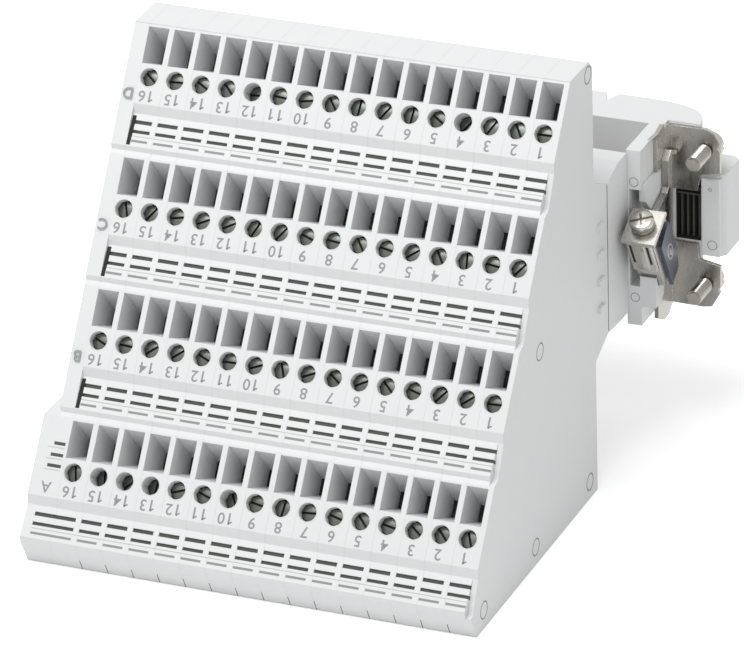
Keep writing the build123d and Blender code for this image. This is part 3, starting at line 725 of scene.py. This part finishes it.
@dataclass
class MouldMarks:
    """Round marks of the mould's pins, the seams of the front and the joint beside the carrier."""

    wall_radius: float = 1.6
    wall_ring: tuple[float, float] = (0.3, 0.25)
    front_ring: tuple[float, float] = (0.16, 0.3)
    wall_places: tuple[tuple[float, float], ...] = (
        (28.0, 83.7), (26.2, 3.4), (-1.1, 3.55), (-26.4, 3.65), (2.6, 40.8),
    )
    joint_y: float = 36.76
    joint_half: float = 0.13
    joint_low: float = 29.2
    joint_high: float = 58.4
    joint_deep: float = 0.6
    joint_proud: float = 0.02
    arm_front: float = 47.139
    pad_front: float = 60.94
    arm_places: tuple[tuple[float, float, float], ...] = ((41.9, 54.7, 0.85), (41.95, 31.5, 0.85))
    pad_places: tuple[tuple[float, float, float], ...] = ((52.0, 37.4, 0.9), (51.6, 48.6, 0.28))
    seam_half: float = 0.07
    seam_start: float = 0.15
    seam_long: float = 2.6

    def build(self, shade: bpy.types.Material, dark: bpy.types.Material) -> None:
        """Sets the rings into the side wall, the arm and the lobe, and draws the seams."""
        wall = Matrix.Rotation(pi / 2, 4, "Y")
        rings = []
        for y, z in self.wall_places:
            place = Matrix.Translation(Vector((LAYOUT.right_end, y, z)) * MM) @ wall
            rings.append(Workshop.hoop(self.wall_radius, *self.wall_ring, place))
        front = Matrix.Rotation(pi / 2, 4, "X")
        for y, places in ((self.arm_front, self.arm_places), (self.pad_front, self.pad_places)):
            for x, z, radius in places:
                place = Matrix.Translation(Vector((x, y, z)) * MM) @ front
                rings.append(Workshop.hoop(radius, *self.front_ring, place))
        # The rings carry painted recess shade.
        Workshop.assemble(rings, "mould_pin_marks", shade)
        low = Vector((LAYOUT.right_end - self.joint_deep, self.joint_y - self.joint_half, self.joint_low))
        high = Vector((LAYOUT.right_end + self.joint_proud, self.joint_y + self.joint_half, self.joint_high))
        seams = [Workshop.box(low, high)]
        for number in range(2, LAYOUT.positions + 1):
            x = LAYOUT.slice_right(number)
            low = Vector((x - self.seam_half, self.seam_start, -LINE_SUNK))
            high = Vector((x + self.seam_half, self.seam_long, LINE_PROUD))
            seams.append(Workshop.box(low, high, self.chamfer_place()))
        Workshop.assemble(seams, "joint_seams", dark)

    def chamfer_place(self) -> Matrix:
        """Matrix from X, up and outwards to the lowest part of the slices' front."""
        low = Vector((0, -30.05, 0))
        high = Vector((0, -32.602, 5.131))
        upward = (high - low).normalized()
        across = Vector((1, 0, 0))
        turn = Matrix((across, upward, across.cross(upward))).transposed().to_4x4()
        return Matrix.Translation(low * MM) @ turn


@dataclass
class LobeRibs:
    """Ribs and shelves of the deep recesses beside the flanges, dark with painted shade, and black linings of
    painted shade.
    """

    inner: float = 44.75
    outer: float = 49.3
    front: float = 63.2
    rear: float = 68.5
    low: float = 37.6
    high: float = 50.2
    centre: float = -1.45
    count: int = 4
    rib_half: float = 0.2
    shelves: tuple[float, ...] = (46.4, 47.6, 48.8)
    shelf_thick: float = 0.35
    shelf_reach: float = 0.8
    mouth: float = 62.0
    floor: float = 68.53
    lining: tuple[float, float, float, float] = (44.61, 49.49, 37.51, 50.29)
    thick: float = 0.06

    def span(self, side: int, near: float, far: float) -> list[float]:
        """Finds the low and high X of a stretch of one recess.

        Args:
            side: 1 for the right recess, -1 for its mirror image on the left.
            near: One X of the stretch in the right recess.
            far: The other X of it.

        Returns:
            The two X, lowest first.
        """
        return sorted(self.centre + side * (x - self.centre) for x in (near, far))

    def linings(self, material: bpy.types.Material) -> None:
        """Lines the walls and the floor of both recesses with painted black shade."""
        inner, outer, low, high = self.lining
        walls = (
            (inner, inner + self.thick, low, high, self.mouth),
            (outer - self.thick, outer, low, high, self.mouth),
            (inner, outer, low, low + self.thick, self.mouth),
            (inner, outer, high - self.thick, high, self.mouth),
            (inner, outer, low, high, self.floor - self.thick),
        )
        panels = []
        for side in (1, -1):
            for near, far, bottom, top, front in walls:
                left, right = self.span(side, near, far)
                panels.append(Workshop.box(Vector((left, front, bottom)), Vector((right, self.floor, top))))
        Workshop.assemble(panels, "lobe_recess_painted_shade", material)

    def build(self, material: bpy.types.Material) -> None:
        """Builds the ribs of both lobes, dark with painted shade."""
        ribs = []
        step = (self.outer - self.inner) / self.count
        for side in (1, -1):
            for index in range(self.count):
                x = self.inner + (index + 0.5) * step
                left, right = self.span(side, x - self.rib_half, x + self.rib_half)
                ribs.append(
                    Workshop.box(Vector((left, self.front, self.low)), Vector((right, self.rear, self.high)))
                )
            left, right = self.span(side, self.inner, self.outer)
            for z in self.shelves:
                low = Vector((left, self.front - self.shelf_reach, z))
                ribs.append(Workshop.box(low, Vector((right, self.rear, z + self.shelf_thick))))
        Workshop.assemble(ribs, "lobe_ribs_painted_shade", material)


@dataclass
class CaptiveScrew:
    """One captive screw with its threads, neck and slotted head, pointing to the front."""

    radius: float = 1.5
    core: float = 1.12
    pitch: float = 0.5
    tip: float = 54.44
    stud_end: float = 60.84
    neck: float = 1.2
    head: float = 2.7
    head_front: float = 61.99
    head_length: float = 2.6
    head_edge: float = 0.25
    head_sides: int = 40
    ridge_width: float = 0.27
    ridge_edge: float = 0.1
    first_ridge: float = 0.45
    bare_end: float = 0.4
    drive_half: float = 0.4
    drive_deep: float = 0.9

    def build(self, body: Body, x: float, z: float, material: bpy.types.Material) -> None:
        """Builds the screw and stands it for its CAD node."""
        place = Matrix.Translation(Vector((x, 0, z)) * MM) @ Matrix.Rotation(-pi / 2, 4, "X")
        pieces = [Workshop.disc(self.core, self.tip + 0.01, self.stud_end - 0.01, place)]
        turns = int((self.stud_end - self.tip - self.bare_end) / self.pitch)
        for turn in range(turns):
            y = self.tip + self.first_ridge + turn * self.pitch
            ridge = Workshop.disc(self.radius, y, y + self.ridge_width, place)
            Workshop.soften(ridge, self.ridge_edge, 1)
            pieces.append(ridge)
        pieces.append(Workshop.disc(self.neck, self.stud_end - 0.02, self.head_front + 0.02, place))
        rear = self.head_front + self.head_length
        head = Workshop.disc(self.head, self.head_front, rear, place, self.head_sides)
        Workshop.soften(head, self.head_edge)
        low = Vector((x - 4, rear - self.drive_deep, z - self.drive_half))
        Workshop.carve(head, Workshop.box(low, Vector((x + 4, rear + 1, z + self.drive_half))))
        pieces.append(head)
        screw = Workshop.join(pieces, f"{body.value}_looks")
        Workshop.pick(screw)
        bpy.ops.object.shade_smooth_by_angle(angle=SMOOTH_ANGLE)
        Workshop.dress(screw, material)
        Workshop.hand_in(screw, body, Slot.PLATED, body.value)


@dataclass
class EarthClamp:
    """Looks of the earth clamp: screw with a cross drive, tongue of the saddle and the earth sign."""

    middle: tuple[float, float, float] = (44.75, 43.6395, 48.6)
    tilt: float = radians(60)
    head: float = 2.28
    head_low: float = -1.15
    head_high: float = 1.05
    shank: float = 1.42
    length: float = 12.0
    head_sides: int = 40
    shank_sides: int = 28
    head_edge: float = 0.35
    cross_turn: float = radians(24)
    cross_long: tuple[float, float] = (3.0, 0.26)
    cross_short: tuple[float, float] = (0.24, 1.3)
    cross_floors: tuple[float, float] = (0.2, -0.1)
    front: float = -3.8
    tongue_half: float = 1.15
    tongue_ends: tuple[float, float] = (-9.6, -2.2)
    tongue_proud: float = 0.12
    tongue_sunk: float = 0.3
    tongue_edge: float = 0.28
    slot_x: float = 1.62
    slot_half: float = 0.24
    slot_ends: tuple[float, float] = (-7.6, -2.3)
    plate_x: float = 47.87
    sign_at: tuple[float, float] = (1.35, -10.2)
    sign_bars: tuple[tuple[float, float, float, float], ...] = (
        (-0.11, 0.1, 0.11, 1.1), (-0.7, -0.08, 0.7, 0.12), (-0.45, -0.5, 0.45, -0.3), (-0.2, -0.9, 0.2, -0.7),
    )

    def place(self) -> Matrix:
        """Matrix from the clamp's own directions, Z along the screw, to the CAD frame."""
        across = Vector((1, 0, 0))
        axis = Vector((0, -cos(self.tilt), sin(self.tilt)))
        turn = Matrix((across, axis.cross(across), axis)).transposed().to_4x4()
        return Matrix.Translation(Vector(self.middle) * MM) @ turn

    def screw(self, material: bpy.types.Material) -> None:
        """Builds the clamp's screw."""
        place = self.place()
        head = Workshop.disc(self.head, self.head_low, self.head_high, place, self.head_sides)
        Workshop.soften(head, self.head_edge, 3)
        turned = place @ Matrix.Rotation(self.cross_turn, 4, "Z")
        top = self.head_high + 1
        for (along, across), floor in zip((self.cross_long, self.cross_short), self.cross_floors):
            cutter = Workshop.box(Vector((-along, -across, floor)), Vector((along, across, top)), turned)
            Workshop.carve(head, cutter)
        tip = self.head_low - self.length + 0.02
        shank = Workshop.disc(self.shank, tip, self.head_low + 0.05, place, self.shank_sides)
        screw = Workshop.join([head, shank], "earth_screw_looks")
        Workshop.pick(screw)
        bpy.ops.object.shade_smooth_by_angle(angle=SMOOTH_ANGLE)
        Workshop.dress(screw, material)
        Workshop.hand_in(screw, Body.EARTH_SCREW, Slot.PLATED, "pe_screw")

    def saddle(self, bright: bpy.types.Material, black: bpy.types.Material) -> None:
        """Adds the tongue between two slots on the saddle's front; the slots are black boxes of painted
        shade.
        """
        place = self.place()
        low = Vector((-self.tongue_half, self.front - self.tongue_proud, self.tongue_ends[0]))
        high = Vector((self.tongue_half, self.front + self.tongue_sunk, self.tongue_ends[1]))
        tongue = Workshop.box(low, high, place)
        Workshop.soften(tongue, self.tongue_edge, 3)
        Workshop.assemble([tongue], "saddle_tongue", bright, Body.SADDLE, Slot.PLATED)
        slots = []
        for x in (-self.slot_x, self.slot_x):
            low = Vector((x - self.slot_half, self.front - 0.02, self.slot_ends[0]))
            high = Vector((x + self.slot_half, self.front + 0.2, self.slot_ends[1]))
            slots.append(Workshop.box(low, high, place))
        # Painted shade: the slots are black boxes, not cuts.
        Workshop.assemble(slots, "saddle_slot_shade", black, Body.SADDLE, Slot.PLATED)

    def sign(self, material: bpy.types.Material) -> None:
        """Lays the earth sign in its oval on the side plate."""
        face = Matrix.Translation(Vector((self.plate_x, *self.beside(*self.sign_at))) * MM)
        along = Vector((0, -cos(self.tilt), sin(self.tilt)))
        outward = Vector((1, 0, 0))
        turn = Matrix((along.cross(outward), along, outward)).transposed().to_4x4()
        place = face @ turn
        pieces = [Workshop.hoop(1.0, 0.2, 0.2, place @ Matrix.Diagonal((1.15, 1.75, 1, 1)), 36)]
        for left, low, right, high in self.sign_bars:
            pieces.append(Workshop.box(Vector((left, low, -0.02)), Vector((right, high, 0.03)), place))
        Workshop.assemble(pieces, "earth_sign", material, Body.BLOCK, Slot.PLATED)

    def beside(self, back: float, up: float) -> tuple[float, float]:
        """(Y, Z) of a point in the clamp's own directions."""
        y = self.middle[1] + back * sin(self.tilt) - up * cos(self.tilt)
        z = self.middle[2] + back * cos(self.tilt) + up * sin(self.tilt)
        return (y, z)


@dataclass
class Studio:
    """Floor, light and camera."""

    eye: tuple[float, float, float] = (0.421009, -0.958205, 0.548092)
    right: tuple[float, float, float] = (0.92368, 0.38218, -0.02738)
    down: tuple[float, float, float] = (0.14462, -0.41391, -0.89876)
    focal_pixels: float = 6500.0
    photo_width: float = 744.0
    sensor: float = 36.0
    ambient: float = 0.55
    key_power: float = 4.2
    key_distance: float = 0.8
    key_size: float = 0.5
    key_direction: tuple[float, float, float] = (-0.12, -0.30, 0.94)
    floor_glow: float = 0.42

    @staticmethod
    def seen(tree: bpy.types.NodeTree) -> bpy.types.NodeSocket:
        """Adds nodes that give 1 to camera, glossy and transmission rays and 0 to the rest.

        Args:
            tree: Node tree of a material or a world.

        Returns:
            The socket with the value.
        """
        path = tree.nodes.new("ShaderNodeLightPath")
        first = tree.nodes.new("ShaderNodeMath")
        first.operation = "MAXIMUM"
        second = tree.nodes.new("ShaderNodeMath")
        second.operation = "MAXIMUM"
        tree.links.new(path.outputs["Is Camera Ray"], first.inputs[0])
        tree.links.new(path.outputs["Is Glossy Ray"], first.inputs[1])
        tree.links.new(first.outputs["Value"], second.inputs[0])
        tree.links.new(path.outputs["Is Transmission Ray"], second.inputs[1])
        return second.outputs["Value"]

    def camera(self) -> None:
        """Sets the camera where the photograph was taken from."""
        data = bpy.data.cameras.new("photo_view")
        data.sensor_width = self.sensor
        data.lens = self.focal_pixels * self.sensor / self.photo_width
        data.clip_start = 0.05
        data.clip_end = 20
        camera = bpy.data.objects.new("photo_view", data)
        bpy.context.collection.objects.link(camera)
        across = Vector(self.right)
        up = -Vector(self.down)
        turn = Matrix((across, up, across.cross(up))).transposed().to_4x4()
        camera.matrix_world = Matrix.Translation(Vector(self.eye)) @ turn
        bpy.context.scene.camera = camera

    def floor(self) -> None:
        """Lays the pale floor."""
        Workshop.clear_selection()
        bpy.ops.mesh.primitive_plane_add(size=12, location=(0, 0, 0))
        floor = bpy.context.active_object
        floor.name = "floor"
        paint = bpy.data.materials.new("pale_floor")
        paint.use_nodes = True
        shader = paint.node_tree.nodes["Principled BSDF"]
        shader.inputs["Base Color"].default_value = (0.93, 0.93, 0.93, 1)
        shader.inputs["Roughness"].default_value = 0.9
        shader.inputs["Specular IOR Level"].default_value = 0.0
        shader.inputs["Emission Color"].default_value = (1, 1, 1, 1)
        glow = paint.node_tree.nodes.new("ShaderNodeMath")
        glow.operation = "MULTIPLY"
        glow.inputs[1].default_value = self.floor_glow
        paint.node_tree.links.new(self.seen(paint.node_tree), glow.inputs[0])
        paint.node_tree.links.new(glow.outputs["Value"], shader.inputs["Emission Strength"])
        Workshop.dress(floor, paint)

    def world(self) -> None:
        """Fills the surroundings with soft light and shows them white."""
        world = bpy.data.worlds.new("studio")
        bpy.context.scene.world = world
        world.use_nodes = True
        nodes = world.node_tree.nodes
        links = world.node_tree.links
        background = nodes["Background"]
        strength = nodes.new("ShaderNodeMapRange")
        strength.inputs["To Min"].default_value = self.ambient
        strength.inputs["To Max"].default_value = 1.0
        links.new(self.seen(world.node_tree), strength.inputs["Value"])
        links.new(strength.outputs["Result"], background.inputs["Strength"])
        background.inputs["Color"].default_value = (1, 1, 1, 1)

    def key(self) -> None:
        """Hangs the large soft lamp over the front."""
        data = bpy.data.lights.new("key", "AREA")
        data.size = self.key_size
        data.energy = self.key_power
        lamp = bpy.data.objects.new("key", data)
        bpy.context.collection.objects.link(lamp)
        direction = Vector(self.key_direction).normalized()
        lamp.location = direction * self.key_distance + Vector((0, 0, 0.04))
        lamp.rotation_mode = "QUATERNION"
        lamp.rotation_quaternion = direction.to_track_quat("Z", "Y")

    def build(self) -> None:
        """Builds the whole studio."""
        self.camera()
        self.floor()
        self.world()
        self.key()
        bpy.context.scene.view_settings.view_transform = "Standard"


def dress_nodes() -> None:
    """Gives every CAD node the material of its finish."""
    made = {finish.name: finish.material() for finish in (HOUSING, CLAMP, CONTACT, PLATED, PAINTED_SHADE_PLATE)}
    chosen = {
        "slice": HOUSING,
        "end_plate": HOUSING,
        "contact_carrier": HOUSING,
        "connector_insert": HOUSING,
        "wire_clamps": CLAMP,
        "contact_strips": CONTACT,
        "pe_side_plate": PAINTED_SHADE_PLATE,
    }
    for name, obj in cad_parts.items():
        finish = next((value for key, value in chosen.items() if name.startswith(key)), PLATED)
        Workshop.dress(obj, made[finish.name])


def main() -> None:
    """Builds the looks piece by piece."""
    logging.basicConfig(level=logging.INFO, format="%(message)s")
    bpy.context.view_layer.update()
    Studio().build()
    dress_nodes()
    grey, dark, pale, black = RECESS.material(), DEEP.material(), PALE_LINE.material(), PAINTED_BLACK_SHADE.material()
    bright, moulding = BRIGHT.material(), bpy.data.materials[HOUSING.name]
    screws = TerminalScrews()
    screws.build(ZINC.material())
    screws.mouths(moulding, black)
    Markings().build(INK.material())
    lines = StripLines()
    lines.build(grey, pale, black)
    lines.floors(dark)
    FootSlots().build(dark, pale)
    MouldMarks().build(grey, dark)
    lobes = LobeRibs()
    lobes.build(dark)
    lobes.linings(black)
    for body, x, z in (
        (Body.UPPER_RIGHT, 50.55, 56.2),
        (Body.LOWER_RIGHT, 50.55, 29.2),
        (Body.UPPER_LEFT, -53.45, 56.2),
        (Body.LOWER_LEFT, -53.45, 29.2),
    ):
        CaptiveScrew().build(body, x, z, bright)
    clamp = EarthClamp()
    clamp.screw(bright)
    clamp.saddle(bright, black)
    clamp.sign(bright)


if __name__ == "__main__":
    main()
